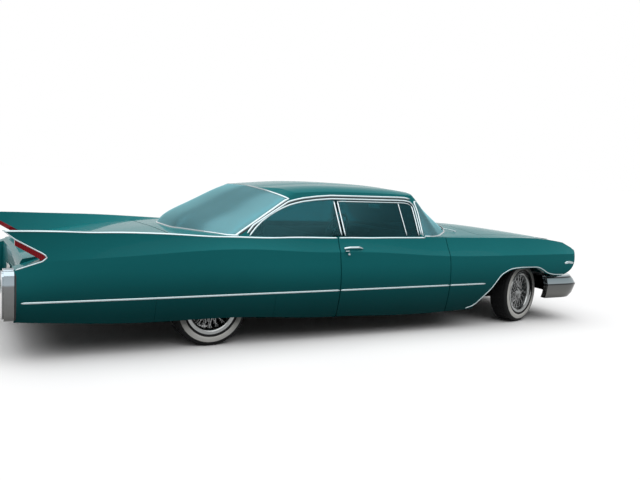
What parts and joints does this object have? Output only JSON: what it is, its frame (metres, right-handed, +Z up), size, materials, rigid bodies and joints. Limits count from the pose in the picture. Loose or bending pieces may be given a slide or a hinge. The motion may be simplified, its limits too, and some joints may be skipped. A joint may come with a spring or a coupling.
{
  "type": "hardtop coupe car",
  "caption": "Long low hardtop coupe with tail fins, covered rear wheels, bright bumpers, wire wheels and whitewall tyres, made to carry people on bench seats.",
  "frame": {"origin": "on the ground under the middle of the car's length and width", "axes": "+X forward to the front bumper, +Y to the car's left side, +Z up"},
  "size_m": [5.715, 2.0264, 1.3482],
  "materials": {
    "paint": "metallic clear coat",
    "dark_metal": "matte",
    "chrome": "polished",
    "glass": "tinted",
    "tyre": "matte with a white band",
    "leather": "semi-matte",
    "lens_clear": "fluted",
    "lens_red": "ribbed",
    "cast": "rough",
    "dash": "grained",
    "steering": "gloss"
  },
  "bodies": {
    "body": {"floor": "dark_metal", "chassis_frame": "dark_metal", "cowl": "paint", "front_wing_left": "paint", "front_wing_right": "paint", "quarter_panel_left": "paint", "quarter_panel_right": "paint", "rear_wheel_covers": "paint", "roof": "paint", "windshield": "glass", "rear_window": "glass", "quarter_glass": "glass", "rear_deck": "paint", "tail_panel": "paint", "front_axle": "dark_metal", "rear_axle": "dark_metal", "grille": "chrome", "headlamps": "lens_clear", "tail_lamps": "lens_red", "front_bumper": "chrome", "rear_bumper": "chrome", "dashboard": "dash", "front_seat": "leather", "rear_seat": "leather", "engine": "cast", "radiator": "dark_metal"},
    "hood": {"hood": "paint"},
    "trunk_lid": {"trunk_lid": "paint"},
    "door_left": {"door_left": "paint", "door_glass_left": "glass"},
    "door_right": {"door_right": "paint", "door_glass_right": "glass"},
    "knuckle_left": {"knuckle_left": "dark_metal"},
    "knuckle_right": {"knuckle_right": "dark_metal"},
    "steering_wheel": {"steering_wheel": "steering"},
    "wheel_front_left": {"rim_front_left": "chrome", "tyre_front_left": "tyre"},
    "wheel_front_right": {"rim_front_right": "chrome", "tyre_front_right": "tyre"},
    "wheel_rear_left": {"rim_rear_left": "chrome", "tyre_rear_left": "tyre"},
    "wheel_rear_right": {"rim_rear_right": "chrome", "tyre_rear_right": "tyre"}
  },
  "joints": [
    {"name": "hood_hinge", "type": "hinge", "parent": "body", "child": "hood", "pos_m": [1.5005, 0, 0.951], "axis": [0, -1, 0], "range_deg": [0, 55]},
    {"name": "trunk_hinge", "type": "hinge", "parent": "body", "child": "trunk_lid", "pos_m": [-1.6005, 0, 0.917], "axis": [0, 1, 0], "range_deg": [0, 62]},
    {"name": "door_left_hinge", "type": "hinge", "parent": "body", "child": "door_left", "pos_m": [0.9865, 1.008, 0.5], "axis": [0, 0, -1], "range_deg": [0, 60]},
    {"name": "door_right_hinge", "type": "hinge", "parent": "body", "child": "door_right", "pos_m": [0.9865, -1.008, 0.5], "axis": [0, 0, 1], "range_deg": [0, 60]},
    {"name": "steer_left", "type": "hinge", "parent": "body", "child": "knuckle_left", "pos_m": [2.0065, 0.69, 0.308], "axis": [0, 0, 1], "range_deg": [-51, 17]},
    {"name": "steer_right", "type": "hinge", "parent": "body", "child": "knuckle_right", "pos_m": [2.0065, -0.69, 0.308], "axis": [0, 0, 1], "range_deg": [-51, 17]},
    {"name": "steering_wheel_turn", "type": "hinge", "parent": "body", "child": "steering_wheel", "pos_m": [0.5255, 0.38, 0.82], "axis": [-0.8949, 0, 0.4462], "range_deg": [-612, 204]},
    {"name": "wheel_front_left_spin", "type": "hinge", "parent": "knuckle_left", "child": "wheel_front_left", "pos_m": [1.99042, 0.7426, 0.308], "axis": [-0.2924, 0.9563, 0], "continuous": true},
    {"name": "wheel_front_right_spin", "type": "hinge", "parent": "knuckle_right", "child": "wheel_front_right", "pos_m": [2.02258, -0.7426, 0.308], "axis": [-0.2924, 0.9563, 0], "continuous": true},
    {"name": "wheel_rear_left_spin", "type": "hinge", "parent": "body", "child": "wheel_rear_left", "pos_m": [-1.2955, 0.745, 0.308], "axis": [0, 1, 0], "continuous": true},
    {"name": "wheel_rear_right_spin", "type": "hinge", "parent": "body", "child": "wheel_rear_right", "pos_m": [-1.2955, -0.745, 0.308], "axis": [0, 1, 0], "continuous": true}
  ],
  "couplings": [
    {"joint": "steer_right", "follows": "steer_left", "ratio": 1},
    {"joint": "steering_wheel_turn", "follows": "steer_left", "ratio": 12}
  ]
}
